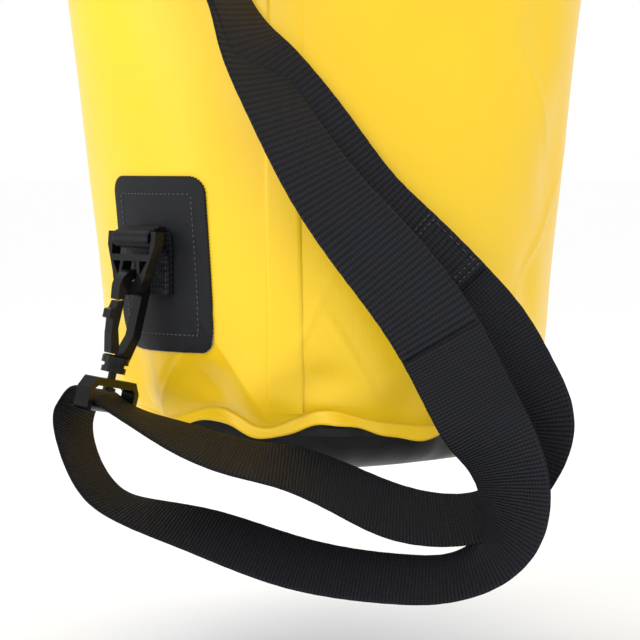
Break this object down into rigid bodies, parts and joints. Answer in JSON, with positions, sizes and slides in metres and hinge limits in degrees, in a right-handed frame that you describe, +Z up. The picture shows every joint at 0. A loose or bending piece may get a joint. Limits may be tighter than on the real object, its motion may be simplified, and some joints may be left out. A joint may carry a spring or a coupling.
{
  "type": "dry bag",
  "caption": "Roll-top dry bag of coated fabric with a doubled webbing shoulder strap on swivel snap hooks, hung by its buckled mouth.",
  "frame": {"origin": "underside of the closed buckle, the top of the loop that the bag hangs from", "axes": "+Z up along the bag, X along the rolled mouth, the shoulder strap in front towards -Y"},
  "size_m": [0.2864, 0.2582, 0.6278],
  "materials": {
    "pvc_yellow": "semi-gloss coated fabric",
    "pvc_black": "matte coated fabric",
    "webbing_black": "ribbed polypropylene webbing",
    "thread_grey": "bonded thread",
    "thread_black": "bonded thread",
    "plastic_black": "moulded acetal"
  },
  "bodies": {
    "root": {"bag_body": "pvc_yellow", "hem_band": "pvc_yellow", "side_seam_strip": "pvc_yellow", "roll_top": "pvc_yellow", "shoulder_left": "pvc_yellow", "shoulder_right": "pvc_yellow", "bottom_panel": "pvc_black", "mouth_stiffener": "pvc_black", "lower_patch": "pvc_black", "upper_patch": "pvc_black", "closure_webbing_left": "webbing_black", "closure_webbing_right": "webbing_black", "lower_tab": "webbing_black", "upper_tab": "webbing_black", "strap_upper_webbing": "webbing_black", "strap_lower_webbing": "webbing_black", "lower_patch_thread": "thread_grey", "upper_patch_thread": "thread_grey", "strap_seam_front": "thread_black", "strap_seam_rear": "thread_black", "buckle_female": "plastic_black", "buckle_male": "plastic_black"},
    "lower_clip": {"lower_ring": "plastic_black", "lower_strap_frame": "plastic_black"},
    "lower_hook_body": {"lower_hook": "plastic_black"},
    "lower_gate_body": {"lower_gate": "plastic_black"},
    "upper_clip": {"upper_ring": "plastic_black", "upper_strap_frame": "plastic_black"},
    "upper_hook_body": {"upper_hook": "plastic_black"},
    "upper_gate_body": {"upper_gate": "plastic_black"},
    "prong_front": {"buckle_prong_front": "plastic_black"},
    "prong_rear": {"buckle_prong_rear": "plastic_black"}
  },
  "joints": [
    {"name": "lower_clip_swing", "type": "hinge", "parent": "root", "child": "lower_clip", "pos_m": [-0.08669, -0.08669, -0.4575], "axis": [-0.7071, 0.7071, 0], "range_deg": [-1, 25], "deforming": ["strap_lower_webbing"]},
    {"name": "lower_hook_swivel", "type": "hinge", "parent": "lower_clip", "child": "lower_hook_body", "pos_m": [-0.10053, -0.09297, -0.5339], "axis": [0.2129, 0.093, 0.9726], "range_deg": [-8, 8]},
    {"name": "lower_gate_press", "type": "hinge", "parent": "lower_hook_body", "child": "lower_gate_body", "pos_m": [-0.0976, -0.09308, -0.50883], "axis": [-0.6982, 0.7109, 0.0849], "range_deg": [0, 11], "stiffness_Nm_per_rad": 0.2},
    {"name": "upper_clip_swing", "type": "hinge", "parent": "root", "child": "upper_clip", "pos_m": [-0.08826, -0.06098, -0.19201], "axis": [-0.9549, 0.2971, 0], "range_deg": [-1, 20], "deforming": ["strap_upper_webbing"]},
    {"name": "upper_hook_swivel", "type": "hinge", "parent": "upper_clip", "child": "upper_hook_body", "pos_m": [-0.07642, -0.09471, -0.26052], "axis": [-0.208, 0.4699, 0.8579], "range_deg": [-8, 8]},
    {"name": "upper_gate_press", "type": "hinge", "parent": "upper_hook_body", "child": "upper_gate_body", "pos_m": [-0.08266, -0.08599, -0.23767], "axis": [-0.9316, 0.1723, -0.3202], "range_deg": [0, 11], "stiffness_Nm_per_rad": 0.2},
    {"name": "prong_front_press", "type": "hinge", "parent": "root", "child": "prong_front", "pos_m": [-0.0152, -0.0102, 0.006], "axis": [0, 0, 1], "range_deg": [0, 8], "stiffness_Nm_per_rad": 0.2},
    {"name": "prong_rear_press", "type": "hinge", "parent": "root", "child": "prong_rear", "pos_m": [-0.0152, 0.0102, 0.006], "axis": [0, 0, -1], "range_deg": [0, 8], "stiffness_Nm_per_rad": 0.2}
  ]
}
